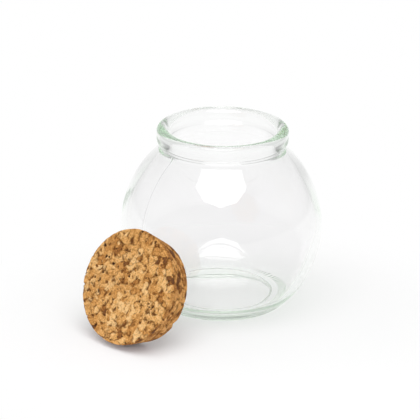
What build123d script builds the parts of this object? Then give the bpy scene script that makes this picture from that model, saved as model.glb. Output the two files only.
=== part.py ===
from build123d import *
import math
import os

os.makedirs("parts", exist_ok=True)

# Millimetres, +Z up. The origin is on the jar's axis, at the surface that the jar stands on.
# The front is -Y. The cork is off the jar and leans on its front left.

# Jar: a ball that is slightly taller than it is wide, under a short neck with a thick bead
jar_height = 77.6
body_diameter = 85.0
foot_diameter = 52.0
wall = 2.4

# Mouth of the jar, from the bore outwards and from the rim downwards
bore_diameter = 44.6
lip_round = 3.0
bead_thickness = 5.4
bead_height = 7.0
bead_overhang = 1.3
bead_round = 2.0
bead_lower_round = 2.9
neck_length = 2.6
neck_round = 2.4
inner_neck_round = 6.0

# Base of the jar: a bearing ring round a raised, domed bottom
heel_round = 3.2
ring_width = 4.8
recess_depth = 1.2
recess_round = 0.5
push_up = 3.4
floor_height = 4.6
floor_crown = 2.6
floor_round = 8.0

# Knurls on the edge of the bearing ring: the ridges left between shallow flutes
knurl_pitch = 1.6
flute_radius = 0.9
flute_depth = 0.45
flute_slope = 34.0

# Mould seams, on opposite sides of the jar
seam_bearing = 38.0
seam_proud = 0.14
seam_width = 0.5

# Cork: a tapered plug that jams in the bore before it is all the way in
cork_taper = 12.2
cork_thickness = 13.1
cork_seat_depth = 4.0
cork_edge_round = 0.5
lost_granule = 3.0
lost_granule_bearing = -24.0

# Where the cork leans on the jar
lean_bearing = 233.5
lean_turn = 6.5
lean_angle = 23.3
cork_gap = 0.3

# One overrun serves every cut.
overrun = 2.0

bore_radius = bore_diameter / 2
bead_radius = bore_radius + bead_thickness
neck_radius = bead_radius - bead_overhang
bead_underside = jar_height - bead_height
shoulder_height = bead_underside - neck_length

# The ball's outline is an ellipse, from the foot on the table to the neck at the shoulder.
body_radius = body_diameter / 2
foot_radius = foot_diameter / 2
recess_radius = foot_radius - ring_width
rise_to_foot_share = math.sqrt(1 - (foot_radius / body_radius) ** 2)
rise_to_neck_share = math.sqrt(1 - (neck_radius / body_radius) ** 2)
body_rise = shoulder_height / (rise_to_foot_share + rise_to_neck_share)
widest_level = body_rise * rise_to_foot_share
inner_radius = body_radius - wall
inner_rise = body_rise - wall


def ball_radius_at(height, radius, rise):
    """Distance of the ball's outline from the axis, at a height above the table."""
    return radius * math.sqrt(1 - ((height - widest_level) / rise) ** 2)


def ball_height_at(distance, radius, rise):
    """Height of the ball's upper outline, at a distance from the axis."""
    return widest_level + rise * math.sqrt(1 - (distance / radius) ** 2)


def ball_outline(low, high, radius, rise):
    """The ball's outline between two heights, drawn upwards, from its size."""
    start = math.degrees(math.asin((low - widest_level) / rise))
    end = math.degrees(math.asin((high - widest_level) / rise))
    return EllipticalCenterArc((0, widest_level), radius, rise, start_angle=start, arc_size=end - start)


def grown_outline(low, high, growth):
    """The jar's own ball outline between two heights, moved out by a growth, or in by a negative one."""
    return ball_outline(low, high, body_radius + growth, body_rise + growth)


def corner(section, across, up):
    """The vertex of a section that is nearest to a point of its plane."""
    return section.vertices().sort_by_distance((across, up))[0]


# Glass jar: one section, turned about the axis
inner_shoulder_height = ball_height_at(bore_radius, inner_radius, inner_rise)
floor_radius = ball_radius_at(floor_height, inner_radius, inner_rise)

with BuildPart() as glass_jar:
    with BuildSketch(Plane.XZ) as section:
        with BuildLine():
            ball = grown_outline(0, shoulder_height, 0)
            Polyline(
                ball @ 1,
                (neck_radius, bead_underside - bead_overhang / 2),
                (bead_radius, bead_underside + bead_overhang / 2),
                (bead_radius, jar_height),
                (0, jar_height),
                (0, push_up),
            )
            dome = TangentArc((0, push_up), (recess_radius, recess_depth), tangent=(1, 0))
            Polyline(dome @ 1, (recess_radius, 0), ball @ 0)
        make_face()
        with BuildLine():
            hollow = grown_outline(floor_height, inner_shoulder_height, -wall)
            Polyline(
                hollow @ 1,
                (bore_radius, jar_height + overrun),
                (0, jar_height + overrun),
                (0, floor_height + floor_crown),
            )
            TangentArc((0, floor_height + floor_crown), hollow @ 0, tangent=(1, 0))
        make_face(mode=Mode.SUBTRACT)
        fillet(corner(section, foot_radius, 0), heel_round)
        fillet(corner(section, recess_radius, 0), recess_round)
        fillet(corner(section, recess_radius, recess_depth), recess_round)
        fillet(corner(section, neck_radius, shoulder_height), neck_round)
        fillet(corner(section, neck_radius, bead_underside - bead_overhang / 2), bead_overhang)
        fillet(corner(section, bead_radius, bead_underside + bead_overhang / 2), bead_lower_round)
        fillet(corner(section, bead_radius, jar_height), bead_round)
        fillet(corner(section, bore_radius, jar_height), lip_round)
        fillet(corner(section, bore_radius, inner_shoulder_height), inner_neck_round)
        fillet(corner(section, floor_radius, floor_height), floor_round)
    revolve(axis=Axis.Z)

    # Mould seams up the ball, from the heel to the neck, rooted halfway into the wall
    for bearing in (seam_bearing, seam_bearing + 180):
        with BuildSketch(Plane.XZ.rotated((0, 0, bearing))):
            with BuildLine():
                ridge = grown_outline(heel_round, shoulder_height, seam_proud)
                root = grown_outline(heel_round, shoulder_height, -wall / 2)
                Line(ridge @ 0, root @ 0)
                Line(ridge @ 1, root @ 1)
            make_face()
        extrude(amount=seam_width / 2, both=True)

    # Flutes across the heel, which leave the knurls between them
    heel = section.edges().sort_by_distance((foot_radius, 0))[0]
    flute_reach = heel_round - flute_depth + flute_radius
    flute_across = heel.arc_center.X + flute_reach * math.sin(math.radians(flute_slope))
    flute_up = heel.arc_center.Y - flute_reach * math.cos(math.radians(flute_slope))
    knurl_count = round(math.tau * flute_across / knurl_pitch)
    with Locations((0, 0, flute_up)):
        with PolarLocations(flute_across, knurl_count):
            Cylinder(flute_radius, 2 * heel_round, rotation=(0, 90 - flute_slope, 0), mode=Mode.SUBTRACT)

glass_jar.part.label = "glass_jar"
export_step(glass_jar.part, "parts/glass_jar.step")


# Cork: the plug's taper meets the bore where the plug jams, so its ends follow from the bore
taper = math.radians(cork_taper)
small_radius = bore_radius - cork_seat_depth * math.tan(taper)
large_radius = small_radius + cork_thickness * math.tan(taper)

# It rests on the rounded lower edge of its small end, and leans with the upper edge of that end
# against the glass. The rounded edge is a ring, and the edge's round is swept along it.
lean = math.radians(lean_angle)
turn = math.radians(lean_turn)
edge_ring_radius = small_radius + cork_edge_round * (math.tan(taper) - 1 / math.cos(taper))
edge_ring_height = cork_edge_round + edge_ring_radius * math.cos(lean)


def gap_to_glass(distance):
    """Gap between the small end's edge and the ball, with that end's centre a distance from the axis."""
    gaps = []
    for angle in range(-90, 91, 2):
        sideways = distance * math.sin(turn) - edge_ring_radius * math.sin(math.radians(angle))
        up = edge_ring_radius * math.cos(math.radians(angle))
        outwards = distance * math.cos(turn) + cork_edge_round * math.cos(lean) - up * math.sin(lean)
        height = edge_ring_height + up * math.cos(lean)
        gaps.append(math.hypot(sideways, outwards) - ball_radius_at(height, body_radius, body_rise))
    return min(gaps) - cork_edge_round


# The distance closes on the wanted gap in a few steps.
small_end_distance = body_diameter
for _ in range(8):
    small_end_distance += cork_gap - gap_to_glass(small_end_distance)

place = math.radians(lean_bearing)
facing = place - turn
small_end_plane = Plane(
    origin=(
        small_end_distance * math.cos(place),
        small_end_distance * math.sin(place),
        edge_ring_height - cork_edge_round * math.sin(lean),
    ),
    x_dir=(-math.sin(facing), math.cos(facing), 0),
    z_dir=(math.cos(facing) * math.cos(lean), math.sin(facing) * math.cos(lean), math.sin(lean)),
)

with BuildPart() as cork_stopper:
    with BuildSketch(small_end_plane):
        Circle(small_radius)
    extrude(amount=cork_thickness, taper=-cork_taper)
    fillet(cork_stopper.edges().filter_by(GeomType.CIRCLE), cork_edge_round)

    # A granule is missing from the edge of the small end.
    with Locations(small_end_plane):
        with PolarLocations(small_radius, 1, start_angle=lost_granule_bearing):
            Sphere(lost_granule / 2, mode=Mode.SUBTRACT)

cork_stopper.part.label = "cork_stopper"
export_step(cork_stopper.part, "parts/cork_stopper.step")

print("jar", round(glass_jar.part.volume), "cork", round(cork_stopper.part.volume), "knurls", knurl_count)
print("ball", round(2 * body_rise, 2), "tall, widest at", round(widest_level, 2))
print("cork ends", round(2 * small_radius, 2), round(2 * large_radius, 2))
print("gap", round(glass_jar.part.distance_to(cork_stopper.part), 3), "at", round(small_end_distance, 2))
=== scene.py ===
"""A ball-shaped glass jar and its cork stopper, dressed for a studio picture.

The jar is one piece of clear, faintly green glass with a beaded mouth, a knurled base ring and two mould
seams. The stopper is pressed from cork granules and leans on the jar's front left. Lengths are in metres.
"""

import logging
import math
from dataclasses import dataclass, field
from enum import Enum

import bpy
import numpy as np
from mathutils import Matrix, Vector, kdtree, noise


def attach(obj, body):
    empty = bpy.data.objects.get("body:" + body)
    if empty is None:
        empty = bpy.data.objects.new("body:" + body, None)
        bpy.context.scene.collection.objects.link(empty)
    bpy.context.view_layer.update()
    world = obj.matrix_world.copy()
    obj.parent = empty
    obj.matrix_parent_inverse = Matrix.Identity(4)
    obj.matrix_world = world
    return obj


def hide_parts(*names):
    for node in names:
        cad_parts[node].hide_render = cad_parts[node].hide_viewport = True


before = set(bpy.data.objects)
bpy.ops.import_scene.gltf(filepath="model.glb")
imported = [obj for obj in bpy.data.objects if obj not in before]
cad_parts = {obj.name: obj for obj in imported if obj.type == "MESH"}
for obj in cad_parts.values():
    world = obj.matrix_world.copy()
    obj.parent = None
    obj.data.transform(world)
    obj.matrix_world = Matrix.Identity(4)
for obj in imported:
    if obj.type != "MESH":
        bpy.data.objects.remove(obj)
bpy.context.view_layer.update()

MM = 0.001
log = logging.getLogger("glass_jar_with_cork")

Colour = tuple[float, float, float]
Place = tuple[float, float, float]
Flat = tuple[float, float]
Pair = tuple[float, float]
Socket = bpy.types.NodeSocket


class Piece(Enum):
    """The names of the pieces that stand for the two nodes of the model."""

    JAR = "jar_glass"
    CORK = "cork_plug"


class Node(Enum):
    """The nodes of the model, each on a body of its own."""

    JAR = "glass_jar"
    CORK = "cork_stopper"


# Node trees


class NodeSheet:
    """Adds nodes to one node tree and joins them, so that a material reads as a list of steps."""

    MIDDLE = 0.5

    def __init__(self, tree: bpy.types.NodeTree) -> None:
        """Takes over a node tree and empties it."""
        self.tree = tree
        tree.nodes.clear()

    def add(
        self, kind: str, inputs: dict[str | int, object] | None = None, **settings: object
    ) -> bpy.types.Node:
        """Adds a node.

        Args:
            kind: The node's type in Blender.
            inputs: What its inputs get, by their names or places.
            **settings: Properties of the node, by name.

        Returns:
            The new node.
        """
        node = self.tree.nodes.new(kind)
        for name, value in settings.items():
            setattr(node, name, value)
        for key, value in (inputs or {}).items():
            self.feed(node.inputs[key], value)
        return node

    def feed(self, socket: Socket, value: object) -> None:
        """Gives an input its value, or a link where the value is another node's output.

        Args:
            socket: The input.
            value: A number, a colour, a vector or an output socket.
        """
        if isinstance(value, Socket):
            self.tree.links.new(value, socket)
        else:
            socket.default_value = (*value, 1.0) if socket.type == "RGBA" else value

    def math(self, operation: str, *values: object, clamp: bool = False) -> Socket:
        """Adds a math node.

        Args:
            operation: The operation's name in Blender.
            *values: Its inputs, numbers or sockets.
            clamp: Whether the result is kept between 0 and 1.

        Returns:
            The output socket.
        """
        inputs = dict(enumerate(values))
        return self.add("ShaderNodeMath", inputs, operation=operation, use_clamp=clamp).outputs[0]

    def vector(self, operation: str, *values: object) -> Socket:
        """Adds a vector math node.

        Args:
            operation: The operation's name in Blender.
            *values: Its inputs, vectors or sockets.

        Returns:
            The output socket, the number for a dot product or a length and the vector otherwise.
        """
        node = self.add("ShaderNodeVectorMath", dict(enumerate(values)), operation=operation)
        return node.outputs["Value" if operation in ("DOT_PRODUCT", "LENGTH") else "Vector"]

    def ease(
        self, value: object, start: object, end: object, low: object = 0.0, high: object = 1.0
    ) -> Socket:
        """Turns a value between start and end smoothly into one between low and high.

        Args:
            value: The value.
            start: Where the result is low.
            end: Where the result is high.
            low: The result at the start.
            high: The result at the end.

        Returns:
            The output socket.
        """
        inputs = dict(enumerate((value, start, end, low, high)))
        return self.add("ShaderNodeMapRange", inputs, interpolation_type="SMOOTHSTEP").outputs["Result"]

    def between(self, share: object, first: object, second: object) -> Socket:
        """Mixes two numbers, by the share of the second one."""
        inputs = {"Factor": share, "A": first, "B": second}
        return self.add("ShaderNodeMix", inputs, data_type="FLOAT").outputs["Result"]

    def blend(self, share: object, first: object, second: object) -> Socket:
        """Mixes two colours.

        Args:
            share: How much of the second colour there is.
            first: The first colour, or its socket.
            second: The second colour, or its socket.

        Returns:
            The output socket.
        """
        node = self.add("ShaderNodeMix", {"Factor": share}, data_type="RGBA")
        sockets = [s for s in node.inputs if s.type == "RGBA"]
        for socket, colour in zip(sockets, (first, second)):
            self.feed(socket, colour)
        return next(s for s in node.outputs if s.type == "RGBA")

    def ramp(self, value: object, stops: dict[float, Colour]) -> Socket:
        """Turns a value into a colour.

        Args:
            value: The value, 0 to 1.
            stops: The colours, by the value at which each holds.

        Returns:
            The output socket.
        """
        node = self.add("ShaderNodeValToRGB", {"Fac": value})
        elements = node.color_ramp.elements
        while len(elements) < len(stops):
            elements.new(0.5)
        for element, (position, colour) in zip(elements, sorted(stops.items())):
            element.position = position
            element.color = (*colour, 1.0)
        return node.outputs["Color"]

    def attribute(self, name: str, output: str = "Fac") -> Socket:
        """Reads an attribute of the mesh, as a number or as the output that is named."""
        return self.add("ShaderNodeAttribute", attribute_name=name).outputs[output]

    def ray(self, kind: str) -> Socket:
        """Tells whether the ray is of a kind, such as Camera, Shadow or Diffuse."""
        return self.add("ShaderNodeLightPath").outputs[f"Is {kind} Ray"]

    def noise(self, place: Socket, scale: object, detail: float, distortion: float = 0.0) -> Socket:
        """Reads a noise at a place, with so many specks to its unit of length."""
        inputs = {"Vector": place, "Scale": scale, "Detail": detail, "Distortion": distortion}
        return self.add("ShaderNodeTexNoise", inputs).outputs["Fac"]

    def mottle(self, coarse: float, fine: float, share: float) -> Socket:
        """Places the mottle, from the sizes of its specks and the share of the fine ones."""
        inputs = {"Coarse Size": coarse, "Fine Size": fine, "Fine Share": share}
        return self.add("ShaderNodeGroup", inputs, node_tree=surface_mottle()).outputs["Height"]

    def swing(self, value: Socket, depth: float) -> Socket:
        """Turns a noise into a swing about zero, as deep as is asked."""
        return self.math("MULTIPLY", self.math("SUBTRACT", value, self.MIDDLE), depth)

    def bump(self, height: Socket, depth: float) -> Socket:
        """Turns a height into the surface's normals, where a height of 1 is as high as is asked."""
        return self.add("ShaderNodeBump", {"Distance": depth, "Height": height}).outputs["Normal"]


def surface_mottle() -> bpy.types.NodeTree:
    """Builds, once, the group that gives an uneven height in two sizes of speck.

    Returns:
        The group: Coarse Size and Fine Size in metres and Fine Share go in, Height, 0 to 1, comes out.
    """
    name = "surface_mottle"
    if name in bpy.data.node_groups:
        return bpy.data.node_groups[name]
    tree = bpy.data.node_groups.new(name, "ShaderNodeTree")
    for label in ("Coarse Size", "Fine Size", "Fine Share"):
        tree.interface.new_socket(label, in_out="INPUT", socket_type="NodeSocketFloat")
    tree.interface.new_socket("Height", in_out="OUTPUT", socket_type="NodeSocketFloat")
    sheet = NodeSheet(tree)
    coarse, fine, fine_share = sheet.add("NodeGroupInput").outputs[:3]
    coarse_share = sheet.math("SUBTRACT", 1.0, fine_share)
    place = sheet.add("ShaderNodeTexCoord").outputs["Object"]
    specks = []
    for size, detail, share in ((coarse, 3.0, coarse_share), (fine, 2.0, fine_share)):
        speck = sheet.noise(place, sheet.math("DIVIDE", 1.0, size), detail)
        specks.append(sheet.math("MULTIPLY", speck, share))
    sheet.add("NodeGroupOutput", {"Height": sheet.math("ADD", *specks)})
    return tree


def new_material(name: str) -> tuple[bpy.types.Material, NodeSheet]:
    """Makes a material.

    Args:
        name: Its name.

    Returns:
        The material and its node sheet, which is empty.
    """
    material = bpy.data.materials.new(name)
    material.use_nodes = True
    return material, NodeSheet(material.node_tree)


# Finishes


@dataclass(frozen=True)
class ClearGlass:
    """Clear soda-lime glass: colourless in a thin wall, green where the light runs along it."""

    tint: Colour = (0.998, 0.9915, 0.998)
    index: float = 1.517
    absorbed: Colour = (0.46, 0.82, 0.46)
    absorption: float = 5.0
    shadow: Colour = (1.0, 1.0, 1.0)
    edge_shadow: Colour = (0.72, 0.74, 0.72)
    edge_facing: Pair = (0.35, 1.0)
    ripple_size: float = 9.0 * MM
    ripple_height: float = 0.02 * MM

    def material(self) -> bpy.types.Material:
        """Builds the material.

        Returns:
            The material, with its surface, its absorption and clear shadows.
        """
        material, sheet = new_material("clear_glass")
        ripple = sheet.mottle(self.ripple_size, self.ripple_size, 0.0)
        surface = {
            "Base Color": self.tint,
            "Roughness": 0.0,
            "IOR": self.index,
            "Transmission Weight": 1.0,
            "Normal": sheet.bump(ripple, self.ripple_height),
        }
        glass = sheet.add("ShaderNodeBsdfPrincipled", surface)
        edge = sheet.ease(sheet.add("ShaderNodeLayerWeight").outputs["Facing"], *self.edge_facing)
        shade = sheet.blend(edge, self.shadow, self.edge_shadow)
        clear = sheet.add("ShaderNodeBsdfTransparent", {"Color": shade})
        unseen = sheet.math("MAXIMUM", sheet.ray("Shadow"), sheet.ray("Diffuse"))
        mix = sheet.add("ShaderNodeMixShader", {0: unseen, 1: glass.outputs[0], 2: clear.outputs[0]})
        thickness = {"Color": self.absorbed, "Density": self.absorption}
        inside = sheet.add("ShaderNodeVolumeAbsorption", thickness)
        sheet.add("ShaderNodeOutputMaterial", {"Surface": mix.outputs[0], "Volume": inside.outputs[0]})
        return material


@dataclass(frozen=True)
class PressedCork:
    """Cork granules pressed into a block and sanded: tan and red-brown granules, dark in the gaps."""

    bark: Colour = (0.150, 0.060, 0.022)
    brown: Colour = (0.410, 0.160, 0.034)
    middle: Colour = (0.650, 0.305, 0.082)
    tan: Colour = (0.840, 0.455, 0.152)
    pale: Colour = (0.960, 0.610, 0.270)
    gap: Colour = (0.135, 0.042, 0.006)
    # Near black: painted shade in the pits, which are also cut into the mesh as hollows.
    pit: Colour = (0.045, 0.018, 0.008)
    lit: Colour = (0.700, 0.590, 0.570)
    streak_size: float = 0.5 * MM
    streak_length: float = 2.4 * MM
    streak_depth: float = 0.6
    mottle_sizes: Pair = (0.85 * MM, 0.35 * MM)
    mottle_fine_share: float = 0.5
    mottle_depth: float = 1.5
    crack_size: float = 1.7 * MM
    crack_distortion: float = 0.6
    crack_width: float = 0.045
    crack_share: float = 0.5
    crack_cover: Pair = (0.46, 0.58)
    roughness: float = 0.82
    roughness_swing: float = 0.3
    shine: float = 0.2
    grain_height: float = 0.14 * MM

    def material(self) -> bpy.types.Material:
        """Builds the material, which reads the granules from the mesh's attributes.

        Returns:
            The material.
        """
        material, sheet = new_material("pressed_cork")
        # This tone is each granule's own lightness, with painted shade on the plug's side.
        tone = sheet.attribute("granule_tone_and_side_shade")
        place = sheet.add("ShaderNodeTexCoord").outputs["Object"]

        # Fine streaks run across each granule, in that granule's own direction.
        across = sheet.vector("DOT_PRODUCT", place, sheet.attribute("granule_grain", "Vector"))
        across = sheet.math("DIVIDE", across, self.streak_size)
        lines = sheet.add("ShaderNodeCombineXYZ", {"X": across, "Y": tone}).outputs[0]
        spread = sheet.vector("SCALE", place)
        sheet.feed(spread.node.inputs["Scale"], 1 / self.streak_length)
        streak = sheet.noise(sheet.vector("ADD", spread, lines), 1.0, 2.0)
        mottle = sheet.mottle(*self.mottle_sizes, self.mottle_fine_share)
        uneven = sheet.math(
            "ADD", sheet.swing(streak, self.streak_depth), sheet.swing(mottle, self.mottle_depth)
        )
        stops = {0.0: self.bark, 0.22: self.brown, 0.5: self.middle, 0.76: self.tan, 1.0: self.pale}
        colour = sheet.ramp(sheet.math("ADD", tone, uneven), stops)

        # Cracks follow the middle level of a noise, and break off where the mottle is high.
        vein = sheet.noise(place, 1 / self.crack_size, 4.0, self.crack_distortion)
        level = sheet.math("ABSOLUTE", sheet.math("SUBTRACT", vein, sheet.MIDDLE))
        crack = sheet.ease(level, 0.0, self.crack_width, self.crack_share, 0.0)
        crack = sheet.math("MULTIPLY", crack, sheet.ease(mottle, *self.crack_cover, 1.0, 0.0))
        colour = sheet.blend(crack, colour, self.gap)
        colour = sheet.blend(sheet.attribute("granule_gap"), colour, self.gap)
        # The pits are painted near black, as painted shade in the hollows that are cut into the mesh.
        colour = sheet.blend(sheet.attribute("granule_pit_shade"), colour, self.pit)

        # What the cork throws on the white paper around it is nearly colourless.
        colour = sheet.blend(sheet.ray("Diffuse"), colour, self.lit)
        height = sheet.math("ADD", mottle, sheet.math("SUBTRACT", streak, crack))
        uneven = sheet.swing(mottle, self.roughness_swing)
        surface = {
            "Base Color": colour,
            "Roughness": sheet.math("ADD", self.roughness, uneven, clamp=True),
            "Specular IOR Level": self.shine,
            "Normal": sheet.bump(height, self.grain_height),
        }
        cork = sheet.add("ShaderNodeBsdfPrincipled", surface)
        sheet.add("ShaderNodeOutputMaterial", {"Surface": cork.outputs[0]})
        return material


@dataclass(frozen=True)
class PaperSweep:
    """White paper under the object, which fades into the white backdrop away from it."""

    colour: Colour = (0.94, 0.94, 0.94)
    roughness: float = 0.9
    shine: float = 0.1
    seen: float = 0.060
    gone: float = 0.125
    centre: Place = (0.005, -0.035, 0.0)
    aside: Pair = (0.06, 0.25)
    glow_aside: float = 0.80
    ambient: float = 0.66
    grain_sizes: Pair = (3 * MM, 0.4 * MM)
    grain_fine_share: float = 0.4
    grain_height: float = 0.02 * MM

    def material(self) -> bpy.types.Material:
        """Builds the material.

        Returns:
            The material, as bright as the backdrop where the paper has faded out.
        """
        material, sheet = new_material("paper_sweep")
        place = sheet.add("ShaderNodeTexCoord").outputs["Object"]
        away = sheet.vector("LENGTH", sheet.vector("SUBTRACT", place, self.centre))
        fade = sheet.ease(away, self.seen, self.gone)
        grain = sheet.mottle(*self.grain_sizes, self.grain_fine_share)
        surface = {
            "Base Color": self.colour,
            "Roughness": self.roughness,
            "Specular IOR Level": self.shine,
            "Normal": sheet.bump(grain, self.grain_height),
        }
        paper = sheet.add("ShaderNodeBsdfPrincipled", surface)
        aside = sheet.math("ABSOLUTE", sheet.vector("DOT_PRODUCT", place, (1.0, 0.0, 0.0)))
        mirrored = sheet.ease(aside, *self.aside, 1.0, self.glow_aside)
        in_glass = sheet.math("MAXIMUM", sheet.ray("Glossy"), sheet.ray("Transmission"))
        seen = sheet.math("MAXIMUM", sheet.ray("Camera"), sheet.math("MULTIPLY", in_glass, mirrored))
        strength = sheet.math("MAXIMUM", seen, self.ambient)
        glow = sheet.add("ShaderNodeEmission", {"Strength": strength})
        mix = sheet.add("ShaderNodeMixShader", {0: fade, 1: paper.outputs[0], 2: glow.outputs[0]})
        sheet.add("ShaderNodeOutputMaterial", {"Surface": mix.outputs[0]})
        return material


@dataclass(frozen=True)
class LampGlow:
    """The even white glow of a softbox's cloth."""

    strength: float = 3.13

    def material(self) -> bpy.types.Material:
        """Builds the material, which glows on its front alone.

        Returns:
            The material.
        """
        material, sheet = new_material("lamp_glow")
        back = sheet.add("ShaderNodeNewGeometry").outputs["Backfacing"]
        strength = sheet.math("MULTIPLY", sheet.math("SUBTRACT", 1.0, back), self.strength)
        glow = sheet.add("ShaderNodeEmission", {"Strength": strength})
        sheet.add("ShaderNodeOutputMaterial", {"Surface": glow.outputs[0]})
        return material


# Outlines and meshes


@dataclass
class Stretch:
    """One stretch of a section's outline, as points close together.

    Fields:
        points: One row of (distance from the axis, height) for each point.
        step: The distance between the mesh's points along it.
        corner: The radius of the round between it and the next stretch.
    """

    points: np.ndarray
    step: float
    corner: float = 0.0


class Outline:
    """A section drawn stretch by stretch, with rounded corners."""

    DENSE = 0.04 * MM
    REACH = 5.0
    ROUND_STEP = math.radians(11)

    def __init__(self, start: Flat) -> None:
        """Starts the outline at a point."""
        self.end = np.array(start)
        self.stretches: list[Stretch] = []
        self.centres: dict[int, np.ndarray] = {}

    def line(self, to: Flat, step: float, corner: float = 0.0) -> None:
        """Draws a straight stretch.

        Args:
            to: Where it ends.
            step: The mesh's step along it.
            corner: The radius of the round at its end.
        """
        count = max(3, math.ceil(np.linalg.norm(np.array(to) - self.end) / self.DENSE))
        share = np.linspace(0, 1, count)[:, None]
        self._append(self.end + share * (np.array(to) - self.end), step, corner)

    def level_arc(self, to: Flat, level_at_start: bool, step: float, corner: float = 0.0) -> None:
        """Draws an arc that runs level at one of its ends.

        Args:
            to: Where it ends.
            level_at_start: Whether it is level at its start, and otherwise at its end.
            step: The mesh's step along it.
            corner: The radius of the round at its end.
        """
        level, other = (self.end, np.array(to)) if level_at_start else (np.array(to), self.end)
        across, up = other - level
        radius = (across**2 + up**2) / (2 * up)
        count = max(3, math.ceil(abs(across) / self.DENSE))
        xs = np.linspace(0, across, count)
        ys = radius - np.sign(radius) * np.sqrt(radius**2 - xs**2)
        points = level + np.column_stack([xs, ys])
        self._append(points if level_at_start else points[::-1], step, corner)

    def ball(self, to_height: float, ball: "Ball", step: float, corner: float = 0.0) -> None:
        """Draws a stretch of a ball's side.

        Args:
            to_height: The height at which it ends.
            ball: The ball.
            step: The mesh's step along it.
            corner: The radius of the round at its end.
        """
        start, end = ball.lift(self.end[1]), ball.lift(to_height)
        count = max(3, math.ceil(abs(end - start) * ball.rise / self.DENSE))
        self._append(ball.at(np.linspace(start, end, count)), step, corner)

    def _append(self, points: np.ndarray, step: float, corner: float) -> None:
        """Adds a stretch and moves the pen to its end."""
        self.stretches.append(Stretch(points, step, corner))
        self.end = points[-1]

    def _round(self, index: int) -> np.ndarray:
        """Rounds the corner at the end of a stretch, and trims it and the next one.

        Args:
            index: The stretch's place in the list.

        Returns:
            The round's points.
        """
        first, second = self.stretches[index], self.stretches[index + 1]
        radius = first.corner
        keep = math.ceil(self.REACH * radius / self.DENSE)
        a, b = first.points[-keep:], second.points[:keep]
        run_a, run_b = (np.gradient(line, axis=0) for line in (a, b))
        run_a, run_b = (run / np.linalg.norm(run, axis=1)[:, None] for run in (run_a, run_b))
        turn = np.sign(run_a[-1][0] * run_b[0][1] - run_a[-1][1] * run_b[0][0])
        side_a, side_b = (turn * np.column_stack([-run[:, 1], run[:, 0]]) for run in (run_a, run_b))
        lines = a + radius * side_a, b + radius * side_b
        gaps = np.linalg.norm(lines[0][:, None] - lines[1][None, :], axis=2)
        i, j = np.unravel_index(np.argmin(gaps), gaps.shape)
        ahead = np.column_stack([run_a[i], -run_b[j]])
        move = np.linalg.solve(ahead, lines[1][j] - lines[0][i])
        centre = lines[0][i] + move[0] * run_a[i]
        start = math.atan2(*(-side_a[i])[::-1])
        sweep = (math.atan2(*(-side_b[j])[::-1]) - start + math.pi) % (2 * math.pi) - math.pi
        count = max(3, math.ceil(abs(sweep) / self.ROUND_STEP)) + 1
        angles = start + np.linspace(0, sweep, count)
        first.points = first.points[: len(first.points) - len(a) + i + 1]
        second.points = second.points[j:]
        self.centres[index] = centre
        return centre + radius * np.column_stack([np.cos(angles), np.sin(angles)])

    def points(self) -> np.ndarray:
        """Rounds the corners and spaces the points for a mesh.

        Returns:
            The outline's points, one row each.
        """
        rounds = {i: self._round(i) for i, s in enumerate(self.stretches) if s.corner}
        parts = []
        for index, stretch in enumerate(self.stretches):
            lengths = np.linalg.norm(np.diff(stretch.points, axis=0), axis=1)
            along = np.concatenate([[0], np.cumsum(lengths)])
            places = np.linspace(0, along[-1], max(2, math.ceil(along[-1] / stretch.step) + 1))
            parts.append(np.column_stack([np.interp(places, along, axis) for axis in stretch.points.T]))
            if index in rounds:
                parts.append(rounds[index])
        line = np.concatenate(parts)
        apart = np.linalg.norm(np.diff(line, axis=0), axis=1) > self.DENSE
        return line[np.concatenate([[True], apart])]


@dataclass(frozen=True)
class Ball:
    """A ball that is taller than it is wide, or the other way round.

    Fields:
        radius: Half its width.
        rise: Half its height.
        level: The height at which it is widest.
    """

    radius: float
    rise: float
    level: float

    def lift(self, height: float) -> float:
        """The angle above the widest level at which the side reaches a height."""
        return math.asin((height - self.level) / self.rise)

    def at(self, lift: np.ndarray) -> np.ndarray:
        """The points of the side at these angles above the widest level."""
        return np.column_stack([self.radius * np.cos(lift), self.level + self.rise * np.sin(lift)])

    def height_at(self, distance: float) -> float:
        """The height of the upper side, at a distance from the axis."""
        return self.level + self.rise * math.sqrt(1 - (distance / self.radius) ** 2)

    def grown(self, growth: float) -> "Ball":
        """The ball with its surface moved out by a growth, or in by a negative one."""
        return Ball(self.radius + growth, self.rise + growth, self.level)


@dataclass
class Turning:
    """A section turned about the axis: a grid of points that can be moved, with a pole at each end.

    Fields:
        line: The section's points, the first and the last of them on the axis.
        angles: The angles of the grid's columns, in rising order.
    """

    line: np.ndarray
    angles: np.ndarray

    def __post_init__(self) -> None:
        """Lays out the points' distances from the axis, heights and angles, rows by columns."""
        shape = (len(self.line) - 2, len(self.angles))
        across, up = (np.broadcast_to(values[1:-1, None], shape).copy() for values in self.line.T)
        self.distance, self.height = across, up
        self.angle = np.broadcast_to(self.angles, shape)

    def solid(self) -> tuple[np.ndarray, list[list[int]]]:
        """Joins the points into a closed skin.

        Returns:
            The points in space and the faces.
        """
        rows, columns = self.distance.shape
        across, back = self.distance * np.cos(self.angles), self.distance * np.sin(self.angles)
        points = np.stack([across, back, self.height], axis=-1).reshape(-1, 3)
        poles = [[0, 0, self.line[0][1]], [0, 0, self.line[-1][1]]]
        index = np.arange(rows * columns).reshape(rows, columns)
        after = np.roll(index, -1, axis=1)
        quads = np.stack([index[:-1], after[:-1], after[1:], index[1:]], axis=-1).reshape(-1, 4)
        low, high = rows * columns, rows * columns + 1
        first = [[low, b, a] for a, b in zip(index[0], after[0])]
        last = [[high, a, b] for a, b in zip(index[-1], after[-1])]
        return np.concatenate([points, poles]), quads.tolist() + first + last


def mesh_object(name: str, points: np.ndarray, faces: list[list[int]]) -> bpy.types.Object:
    """Makes a smoothly shaded object.

    Args:
        name: The object's name.
        points: Its points, one row each.
        faces: The points of each face.

    Returns:
        The object, in the scene.
    """
    mesh = bpy.data.meshes.new(name)
    mesh.from_pydata(points.tolist(), [], faces)
    mesh.shade_smooth()
    mesh.update()
    obj = bpy.data.objects.new(name, mesh)
    bpy.context.scene.collection.objects.link(obj)
    return obj


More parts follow.
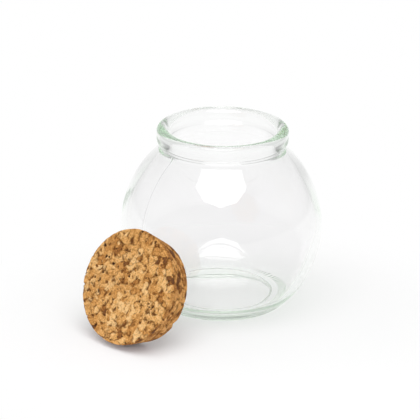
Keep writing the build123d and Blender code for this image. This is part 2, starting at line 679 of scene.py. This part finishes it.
def read_rows(items: object, name: str, width: int) -> np.ndarray:
    """Reads a property of all the points or faces of a mesh.

    Args:
        items: The points or faces.
        name: The property.
        width: How many numbers it has.

    Returns:
        One row of numbers for each point or face.
    """
    values = np.empty(len(items) * width)
    items.foreach_get(name, values)
    return values.reshape(-1, width)


def tree_of(points: np.ndarray) -> kdtree.KDTree:
    """Sorts points into a tree in which the nearest ones are found fast.

    Args:
        points: The points.

    Returns:
        The tree.
    """
    tree = kdtree.KDTree(len(points))
    for index, point in enumerate(points):
        tree.insert(point, index)
    tree.balance()
    return tree


def settle(piece: bpy.types.Object, body: str, node: Node) -> None:
    """Puts a finished piece on its body, in place of its node.

    Args:
        piece: The piece.
        body: The body that it moves with.
        node: The node that it stands for.
    """
    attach(piece, body)
    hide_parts(node.value)
    log.info("%s: %d faces, on body %s", piece.name, len(piece.data.polygons), body)


# The jar


@dataclass
class GlassJar:
    """The blown ball, its beaded mouth and its knurled base, as one closed skin."""

    height: float = 77.6 * MM
    body_diameter: float = 85.0 * MM
    foot_diameter: float = 52.0 * MM
    wall: float = 2.4 * MM
    bore_diameter: float = 44.6 * MM
    lip_round: float = 3.0 * MM
    bead_thickness: float = 5.4 * MM
    bead_height: float = 7.0 * MM
    bead_overhang: float = 1.3 * MM
    bead_round: float = 2.0 * MM
    bead_lower_round: float = 2.9 * MM
    neck_length: float = 2.6 * MM
    neck_round: float = 2.4 * MM
    inner_neck_round: float = 6.0 * MM
    heel_round: float = 3.2 * MM
    heel_start_share: float = 0.6
    ring_width: float = 4.8 * MM
    recess_depth: float = 1.2 * MM
    recess_round: float = 0.5 * MM
    push_up: float = 3.4 * MM
    floor_height: float = 4.6 * MM
    floor_crown: float = 2.6 * MM
    floor_round: float = 8.0 * MM
    knurls: int = 106
    columns_per_knurl: int = 5
    flute_radius: float = 0.9 * MM
    flute_depth: float = 0.45 * MM
    flute_slope: float = math.radians(34)
    seams: tuple[float, ...] = (math.radians(38), math.radians(218))
    seams_proud: tuple[float, ...] = (0.03 * MM, 0.14 * MM)
    seam_width: float = 0.36 * MM
    seam_fade: float = 4.0 * MM
    seam_columns: int = 11
    seam_reach_share: float = 2.2
    seam_clear_share: float = 2.6
    ripple: float = 0.11 * MM
    ripple_lengths: Pair = (24 * MM, 80 * MM)
    ripple_turns: tuple[int, int] = (2, 11)
    ripple_seed: int = 5
    inner_ripples: int = 7
    outer_ripples: int = 5
    outer_ripple_share: float = 0.2
    outer_ripple_sunk: float = 1.5
    finish: ClearGlass = field(default_factory=ClearGlass)

    def __post_init__(self) -> None:
        """Works the other sizes out from the driving ones."""
        self.bore = self.bore_diameter / 2
        self.bead = self.bore + self.bead_thickness
        self.neck = self.bead - self.bead_overhang
        self.underside = self.height - self.bead_height
        self.shoulder = self.underside - self.neck_length
        self.foot = self.foot_diameter / 2
        self.recess = self.foot - self.ring_width
        radius = self.body_diameter / 2
        to_foot, to_neck = (math.sqrt(1 - (part / radius) ** 2) for part in (self.foot, self.neck))
        rise = self.shoulder / (to_foot + to_neck)
        self.outside = Ball(radius, rise, rise * to_foot)
        self.inside = self.outside.grown(-self.wall)

    def section(self) -> tuple[np.ndarray, np.ndarray]:
        """Draws the jar's section, from the dome under the base out, up, over the rim and down inside.

        Returns:
            The section's points and the centre of the heel's round.
        """
        wide, middle, fine = 2.5 * MM, 0.8 * MM, 0.22 * MM
        line = Outline((0.0, self.push_up))
        line.level_arc((self.recess, self.recess_depth), True, wide, self.recess_round)
        line.line((self.recess, 0.0), fine, self.recess_round)
        line.line((self.foot - self.heel_start_share * self.heel_round, 0.0), middle)
        line.line((self.foot, 0.0), fine, self.heel_round)
        heel = len(line.stretches) - 1
        line.ball(self.heel_round, self.outside, fine)
        line.ball(self.shoulder, self.outside, wide, self.neck_round)
        half = self.bead_overhang / 2
        line.line((self.neck, self.underside - half), middle, self.bead_overhang)
        line.line((self.bead, self.underside + half), middle, self.bead_lower_round)
        line.line((self.bead, self.height), middle, self.bead_round)
        line.line((self.bore, self.height), middle, self.lip_round)
        line.line((self.bore, self.inside.height_at(self.bore)), middle, self.inner_neck_round)
        line.ball(self.floor_height, self.inside, wide, self.floor_round)
        line.level_arc((0.0, self.floor_height + self.floor_crown), False, wide)
        points = line.points()
        return points, line.centres[heel]

    def column_angles(self) -> np.ndarray:
        """Spaces the columns evenly over the knurls, and closely at each seam.

        Returns:
            The angles, in rising order.
        """
        count = self.knurls * self.columns_per_knurl
        even = np.arange(count) * 2 * math.pi / count
        width = self.seam_width / self.outside.radius
        fine = np.linspace(-1, 1, self.seam_columns) * self.seam_reach_share * width
        for seam in self.seams:
            even = even[np.abs(even - seam) > self.seam_clear_share * width]
        return np.sort(np.concatenate([even, *(seam + fine for seam in self.seams)]))

    def flute(self, skin: Turning, heel: np.ndarray) -> None:
        """Cuts the flutes between the knurls into the heel.

        Args:
            skin: The jar's skin, changed in place.
            heel: The centre of the heel's round.
        """
        pitch = 2 * math.pi / self.knurls
        off = skin.angle - np.round(skin.angle / pitch) * pitch
        sideways, outwards = skin.distance * np.sin(off), skin.distance * np.cos(off)
        out, down = math.sin(self.flute_slope), math.cos(self.flute_slope)
        depth = (outwards - heel[0]) * out - (skin.height - heel[1]) * down
        reach = self.heel_round - self.flute_depth + self.flute_radius
        room = np.sqrt(np.clip(self.flute_radius**2 - sideways**2, 0, None))
        near = (np.abs(sideways) < self.flute_radius) & (skin.height < 2 * self.heel_round)
        cut = np.where(near, np.clip(depth - (reach - room), 0, None), 0)
        skin.distance -= cut * out
        skin.height += cut * down

    def raise_seams(self, skin: Turning, outer: np.ndarray) -> None:
        """Raises the mould seams on the ball.

        Args:
            skin: The jar's skin, changed in place.
            outer: Whether each row is on the outside.
        """
        rise = np.clip((skin.height - self.heel_round) / self.seam_fade, 0, 1)
        fall = np.clip((self.shoulder + self.neck_round - skin.height) / self.neck_round, 0, 1)
        for seam, proud in zip(self.seams, self.seams_proud):
            off = skin.distance * np.sin(skin.angle - seam)
            near = np.cos(skin.angle - seam) > 0
            ridge = np.exp(-2 * (off / self.seam_width) ** 2) * near
            skin.distance += proud * ridge * rise * fall * outer[:, None]

    def ripples(self, skin: Turning, waves: int, seed: int) -> np.ndarray:
        """Gives the slow ripples of blown glass.

        Args:
            skin: The jar's skin.
            waves: How many ripples are added up.
            seed: Which set of ripples it is.

        Returns:
            A value for each grid point, mostly between -1 and 1.
        """
        rng = np.random.default_rng(seed)
        total = np.zeros_like(skin.height)
        for _ in range(waves):
            turns = rng.integers(*self.ripple_turns)
            length = rng.uniform(*self.ripple_lengths)
            phase, lift = rng.uniform(0, 2 * math.pi, 2)
            around, up = turns * skin.angle + phase, 2 * math.pi * skin.height / length + lift
            total += np.cos(around) * np.cos(up)
        return total / math.sqrt(waves)

    def build(self) -> bpy.types.Object:
        """Builds the jar's skin and gives it its glass.

        Returns:
            The jar.
        """
        points, heel = self.section()
        skin = Turning(points, self.column_angles())
        outer = np.arange(len(skin.height)) < np.argmax(points[:, 1]) - 1
        rise = np.clip((skin.height - 3 * self.heel_round) / self.floor_round, 0, 1)
        fall = np.clip((self.shoulder - skin.height) / self.floor_round, 0, 1)
        inside = self.ripples(skin, self.inner_ripples, self.ripple_seed)

        # The outside ripples less than the inside, and nearly all of it lies under the model's ball.
        outside = self.ripples(skin, self.outer_ripples, self.ripple_seed + 1)
        outside = (outside - self.outer_ripple_sunk) * self.outer_ripple_share
        skin.distance += np.where(outer[:, None], outside, inside) * self.ripple * rise * fall
        self.flute(skin, heel)
        self.raise_seams(skin, outer)
        jar = mesh_object(Piece.JAR.value, *skin.solid())
        jar.data.materials.append(self.finish.material())
        return jar


# The cork


@dataclass
class GranuleField:
    """What each point of the cork's skin belongs to.

    Fields:
        tone: How light the granule is, 0 to 1.
        grain: The direction in which the granule's streaks follow each other.
        sunk: How far the granule's face lies under the sanded surface, 0 to 1.
        gap: How open the gap to the next granule is, 0 to 1.
        pit: How deep in a pit the point lies, 0 to 1.
    """

    tone: np.ndarray
    grain: np.ndarray
    sunk: np.ndarray
    gap: np.ndarray
    pit: np.ndarray


@dataclass
class CorkStopper:
    """A tapered plug of pressed cork granules, where the frame has it."""

    bore_diameter: float
    taper: float = math.radians(12.2)
    thickness: float = 13.1 * MM
    seat_depth: float = 4.0 * MM
    edge_round: float = 0.5 * MM
    columns: int = 240
    voxel: float = 0.26 * MM
    skin_inset: float = 0.013 * MM
    granule: float = 2.9 * MM
    granule_sizes: Pair = (0.6, 1.5)
    granule_flatness: float = 1.1
    granule_stray: float = 0.62
    left_out_share: float = 0.12
    chip_share: float = 0.4
    chip_stray: float = 0.5
    tone_middle: float = 0.66
    tone_spread: float = 0.17
    tone_limits: Pair = (0.12, 1.0)
    bark_share: float = 0.08
    bark_tones: Pair = (0.0, 0.25)
    # Painted shade on the plug's side, taken off the granules' tone where the skin faces sideways.
    painted_side_shade: float = 0.22
    side_shade_start: float = 1.4
    neighbours: int = 10
    warp: float = 0.55 * MM
    warp_size: float = 2.2 * MM
    warp_steps: tuple[Pair, ...] = ((1, 1.0), (3, 0.6), (6, 0.35))
    sunk_depth: float = 0.10 * MM
    gap_width: float = 0.34 * MM
    gap_narrow_share: float = 0.35
    gap_depth: float = 0.24 * MM
    gap_patch: float = 1.9 * MM
    gap_open: Pair = (0.38, 2.0)
    pits: int = 210
    pit_radius: Pair = (0.35 * MM, 0.85 * MM)
    pit_shares: Pair = (0.6, 1.0)
    pit_depth: float = 0.75 * MM
    # How strongly the painted shade shows in the pits.
    pit_shade_strength: float = 1.6
    pit_reach: float = 0.25 * MM
    pit_elsewhere: float = 0.01
    lost_granule: float = 3.0 * MM
    lost_granule_bearing: float = math.radians(-24)
    lost_depth_share: float = 0.98
    seed: int = 11
    finish: PressedCork = field(default_factory=PressedCork)

    def __post_init__(self) -> None:
        """Works the ends out from the bore in which the plug jams."""
        self.small = self.bore_diameter / 2 - self.seat_depth * math.tan(self.taper)
        self.large = self.small + self.thickness * math.tan(self.taper)

    def place(self) -> Matrix:
        """Finds where the plug lies from the model's own large end.

        Returns:
            The matrix from the plug's own frame, small end down, to the row frame.
        """
        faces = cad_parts[Node.CORK.value].data.polygons
        normals, centres = read_rows(faces, "normal", 3), read_rows(faces, "center", 3)
        areas = read_rows(faces, "area", 1)
        member = np.unique(np.round(normals, 2), axis=0, return_inverse=True)[1].ravel()
        flat = member == np.argmax(np.bincount(member, weights=areas[:, 0]))
        axis = Vector((normals * areas)[flat].sum(axis=0)).normalized()
        end = Vector((centres * areas)[flat].sum(axis=0) / areas[flat].sum())
        level = Vector((0, 0, 1)).cross(axis).normalized()
        turn = Matrix((level, axis.cross(level), axis)).transposed().to_4x4()
        return Matrix.Translation(end - axis * self.thickness) @ turn

    def plain_skin(self) -> tuple[np.ndarray, np.ndarray, list[list[int]]]:
        """Makes the sanded plug's skin, with points evenly apart.

        Returns:
            Its points, the directions out of it and its faces, in the plug's own frame.
        """
        step = 2 * MM
        line = Outline((0.0, 0.0))
        line.line((self.small, 0.0), step, self.edge_round)
        line.line((self.large, self.thickness), step, self.edge_round)
        line.line((0.0, self.thickness), step)
        angles = np.arange(self.columns) * 2 * math.pi / self.columns
        rough = mesh_object("plug_blank", *Turning(line.points(), angles).solid())
        remesh = rough.modifiers.new("even", "REMESH")
        remesh.mode = "VOXEL"
        remesh.voxel_size = self.voxel
        evaluated = rough.evaluated_get(bpy.context.evaluated_depsgraph_get())
        mesh = bpy.data.meshes.new_from_object(evaluated)
        points, normals = read_rows(mesh.vertices, "co", 3), read_rows(mesh.vertices, "normal", 3)
        faces = [list(face.vertices) for face in mesh.polygons]
        bpy.data.objects.remove(rough)
        bpy.data.meshes.remove(mesh)
        return points, normals, faces

    def warped(self, points: np.ndarray) -> np.ndarray:
        """Moves points by noise, so that what is measured there gets ragged borders.

        Args:
            points: The points.

        Returns:
            The moved points.
        """
        moved = points.copy()
        # Unseeded, this noise would differ from one run to the next.
        noise.seed_set(self.seed)
        for finer, share in self.warp_steps:
            places = points / (self.warp_size / finer)
            moved += np.array([noise.noise_vector(Vector(p)) for p in places]) * self.warp * share
        return moved

    def granules(self, points: np.ndarray) -> GranuleField:
        """Shares the skin out among granules of uneven size, shape and colour.

        Args:
            points: The skin's points.

        Returns:
            What each point belongs to.
        """
        rng = np.random.default_rng(self.seed)
        reach = self.large + 2 * self.granule
        across = np.arange(-reach, reach, self.granule)
        up = np.arange(-2 * self.granule, self.thickness + 2 * self.granule, self.granule)
        grid = np.stack(np.meshgrid(across, across, up, indexing="ij"), axis=-1).reshape(-1, 3)
        stray = self.granule_stray
        seeds = grid + rng.uniform(-stray, stray, grid.shape) * self.granule

        # The chips take some of these places again, all moved the same way.
        chips = seeds[rng.random(len(seeds)) < self.chip_share]
        chips = chips + rng.uniform(-self.chip_stray, self.chip_stray, 3) * self.granule
        seeds = np.concatenate([seeds[rng.random(len(seeds)) > self.left_out_share], chips])
        count = len(seeds)
        grain = rng.normal(size=(count, 3))
        grain /= np.linalg.norm(grain, axis=1)[:, None]
        flatness = rng.uniform(0, self.granule_flatness, count)
        size = rng.uniform(*self.granule_sizes, count)
        tone = np.clip(rng.normal(self.tone_middle, self.tone_spread, count), *self.tone_limits)
        bark = rng.random(count) < self.bark_share
        tone[bark] = rng.uniform(*self.bark_tones, bark.sum())
        sunk = rng.random(count) ** 2

        tree = tree_of(seeds)
        moved = self.warped(points)
        nearest = np.array([[hit[1] for hit in tree.find_n(point, self.neighbours)] for point in moved])
        apart = moved[:, None] - seeds[nearest]
        along = (apart * grain[nearest]).sum(axis=2)
        distance = np.sqrt((apart**2).sum(axis=2) + flatness[nearest] * along**2) / size[nearest]
        order = np.argsort(distance, axis=1)
        owner = np.take_along_axis(nearest, order[:, :1], axis=1)[:, 0]
        ranked = np.take_along_axis(distance, order[:, :3], axis=1)
        border = (ranked[:, 1] - ranked[:, 0]) / 2
        junction = (ranked[:, 2] - ranked[:, 0]) / 2

        # The gaps are open in patches.
        level, swing = self.gap_open
        patches = np.array([noise.noise(Vector(point)) for point in points / self.gap_patch])
        open_here = np.clip(level + swing * patches, 0, 1)
        narrow = self.gap_narrow_share
        gap = np.clip(1 - border / (self.gap_width * (narrow + (1 - narrow) * open_here)), 0, 1)
        gap = gap * gap * (3 - 2 * gap) * open_here
        pit = self.pits_in(points, moved, junction, rng)
        return GranuleField(tone[owner], grain[owner], sunk[owner], gap, pit)

    def pits_in(
        self, points: np.ndarray, moved: np.ndarray, junction: np.ndarray, rng: np.random.Generator
    ) -> np.ndarray:
        """Places the pits, mostly where three granules meet; the material darkens them with painted shade.

        Args:
            points: The skin's points.
            moved: The same points, moved for ragged borders.
            junction: How far each point is from where three granules meet.
            rng: The source of chance.

        Returns:
            How deep in a pit each point lies, 0 to 1.
        """
        chance = np.exp(-junction / self.pit_reach) + self.pit_elsewhere
        chosen = rng.choice(len(points), self.pits, replace=False, p=chance / chance.sum())
        radii = rng.uniform(*self.pit_radius, self.pits) * rng.uniform(*self.pit_shares, self.pits)
        tree = tree_of(moved[chosen])
        index, apart = (np.array(values) for values in zip(*(tree.find(point)[1:] for point in moved)))
        return np.clip(1 - (apart / radii[index]) ** 2, 0, 1)

    def bite(self, points: np.ndarray, normals: np.ndarray) -> np.ndarray:
        """Measures how far the lost granule's hollow reaches in from the small end's edge.

        Args:
            points: The skin's points.
            normals: The directions out of the skin.

        Returns:
            The depth at each point.
        """
        bearing = self.lost_granule_bearing
        centre = self.small * np.array([math.cos(bearing), math.sin(bearing), 0.0])
        apart = points - centre
        along = (apart * normals).sum(axis=1)
        room = (self.lost_granule / 2) ** 2 - (apart**2).sum(axis=1)
        return (along + np.sqrt(np.clip(room + along**2, 0, None))) * (room > 0)

    def build(self) -> bpy.types.Object:
        """Builds the plug with its granules, gaps and pits, and gives it its cork.

        Returns:
            The plug.
        """
        points, normals, faces = self.plain_skin()
        skin = self.granules(points)
        depth = skin.sunk * self.sunk_depth + skin.gap * self.gap_depth + skin.pit * self.pit_depth
        depth = np.maximum(depth, self.bite(points, normals) * self.lost_depth_share) + self.skin_inset
        place = self.place()
        turn = np.array(place.to_3x3())
        shaped = (points - normals * depth[:, None]) @ turn.T + np.array(place.translation)
        plug = mesh_object(Piece.CORK.value, shaped, faces)
        # The plug's side gets painted shade: the granules' tone is made darker where the skin faces
        # sideways.
        painted_shade_on_side = np.clip(self.side_shade_start * (1 - np.abs(normals[:, 2])), 0, 1)
        values = {
            "granule_tone_and_side_shade": skin.tone - self.painted_side_shade * painted_shade_on_side,
            "granule_gap": skin.gap,
            "granule_pit_shade": np.clip(skin.pit * self.pit_shade_strength, 0, 1),
        }
        for name, value in values.items():
            layer = plug.data.attributes.new(name, "FLOAT", "POINT")
            layer.data.foreach_set("value", value.astype(np.float32))
        layer = plug.data.attributes.new("granule_grain", "FLOAT_VECTOR", "POINT")
        layer.data.foreach_set("vector", (skin.grain @ turn.T).astype(np.float32).ravel())
        plug.data.materials.append(self.finish.material())
        return plug


# The studio


@dataclass
class Viewpoint:
    """The camera, where the photograph was taken from."""

    place: Place = (-4.9 * MM, -1300.0 * MM, 528.5 * MM)
    look_down: float = math.radians(20.59)
    roll: float = math.radians(0.75)
    focal_pixels: float = 3287.8
    frame_pixels: int = 420
    sensor: float = 36.0
    clip: Pair = (0.01, 50.0)

    def build(self) -> bpy.types.Object:
        """Makes the scene's camera.

        Returns:
            The camera.
        """
        data = bpy.data.cameras.new("photograph")
        data.sensor_width = self.sensor
        data.lens = self.sensor * self.focal_pixels / self.frame_pixels
        data.clip_start, data.clip_end = self.clip
        camera = bpy.data.objects.new("photograph", data)
        tilt = Matrix.Rotation(math.pi / 2 - self.look_down, 4, "X")
        roll = Matrix.Rotation(self.roll, 4, "Z")
        camera.matrix_world = Matrix.Translation(self.place) @ tilt @ roll
        bpy.context.scene.collection.objects.link(camera)
        bpy.context.scene.camera = camera
        return camera


@dataclass
class Softbox:
    """A lamp behind an eight-sided white cloth, high in front of the jar and aimed at it."""

    azimuth: float = math.radians(-2)
    elevation: float = math.radians(63)
    distance: float = 0.95
    radius: float = 0.48
    sides: int = 8
    turned: float = math.radians(22.5)
    aim: Place = (0.0, 0.0, 0.04)
    glow: LampGlow = field(default_factory=LampGlow)

    def build(self) -> bpy.types.Object:
        """Makes the softbox, which lights and is reflected but isn't itself in view.

        Returns:
            The softbox.
        """
        flat, up = math.cos(self.elevation), math.sin(self.elevation)
        away = Vector((math.sin(self.azimuth) * flat, -math.cos(self.azimuth) * flat, up))
        angles = [self.turned + 2 * math.pi * (k + 0.5) / self.sides for k in range(self.sides)]
        points = np.array([[math.cos(a) * self.radius, math.sin(a) * self.radius, 0] for a in angles])
        box = mesh_object("softbox_front", points, [list(range(self.sides))])
        turn = away.to_track_quat("-Z", "Y").to_matrix().to_4x4()
        box.matrix_world = Matrix.Translation(Vector(self.aim) + away * self.distance) @ turn
        box.data.materials.append(self.glow.material())
        box.visible_camera = False
        return box


@dataclass
class Studio:
    """White paper, a white backdrop, a grey room above it and one big softbox."""

    paper_radius: float = 0.6
    paper_sides: int = 96
    ambient: float = 0.66
    backdrop: float = 1.0
    room: float = 0.30
    sides: float = 0.45
    floor_beside: float = 0.90
    backdrop_top: float = 0.20
    room_bottom: float = 0.50
    backdrop_edges: Pair = (math.radians(2), math.radians(55))
    floor_start: Pair = (-0.10, -0.42)
    bounces: int = 96
    paper: PaperSweep = field(default_factory=PaperSweep)
    softbox: Softbox = field(default_factory=Softbox)

    def build(self) -> None:
        """Makes the paper, the lamp and the world, and says how light travels."""
        self.sweep()
        self.softbox.build()
        self.world()
        settings = bpy.context.scene.cycles
        for kind in ("max_bounces", "transmission_bounces", "glossy_bounces", "transparent_max_bounces"):
            setattr(settings, kind, self.bounces)
        settings.caustics_reflective = False
        settings.caustics_refractive = False
        bpy.context.scene.view_settings.view_transform = "Standard"

    def sweep(self) -> bpy.types.Object:
        """Lays the paper under the object.

        Returns:
            The paper.
        """
        angles = np.arange(self.paper_sides) * 2 * math.pi / self.paper_sides
        rim = np.column_stack([np.cos(angles), np.sin(angles), np.zeros_like(angles)])
        paper = mesh_object("paper", rim * self.paper_radius, [list(range(self.paper_sides))])
        paper.data.materials.append(self.paper.material())
        return paper

    def world(self) -> bpy.types.World:
        """Makes the backdrop: white to the camera, and a white wall under a grey room in the glass.

        Returns:
            The world.
        """
        world = bpy.data.worlds.new("backdrop")
        bpy.context.scene.world = world
        world.use_nodes = True
        sheet = NodeSheet(world.node_tree)
        way = sheet.add("ShaderNodeTexCoord").outputs["Generated"]
        across, back, up = sheet.add("ShaderNodeSeparateXYZ", {0: way}).outputs
        aside = sheet.math("ARCTAN2", sheet.math("ABSOLUTE", across), back)
        level = sheet.ease(aside, *self.backdrop_edges, self.backdrop, self.sides)
        floor = sheet.ease(aside, *self.backdrop_edges, self.backdrop, self.floor_beside)
        low = sheet.ease(up, *self.floor_start)
        level = sheet.math("ADD", level, sheet.math("MULTIPLY", low, sheet.math("SUBTRACT", floor, level)))
        wall = sheet.ease(up, self.backdrop_top, self.room_bottom, level, self.room)
        mirrored = sheet.math("MAXIMUM", sheet.ray("Glossy"), sheet.ray("Transmission"))
        unseen = sheet.between(mirrored, self.ambient, wall)
        strength = sheet.between(sheet.ray("Camera"), unseen, 1.0)
        light = sheet.add("ShaderNodeBackground", {"Color": (1.0, 1.0, 1.0), "Strength": strength})
        sheet.add("ShaderNodeOutputWorld", {"Surface": light.outputs[0]})
        return world


def main() -> None:
    """Builds the camera, the studio, the jar and the cork."""
    logging.basicConfig(level=logging.INFO)
    Viewpoint().build()
    Studio().build()
    jar = GlassJar()
    settle(jar.build(), "jar", Node.JAR)
    cork = CorkStopper(bore_diameter=jar.bore_diameter)
    settle(cork.build(), "cork", Node.CORK)


if __name__ == "__main__":
    main()
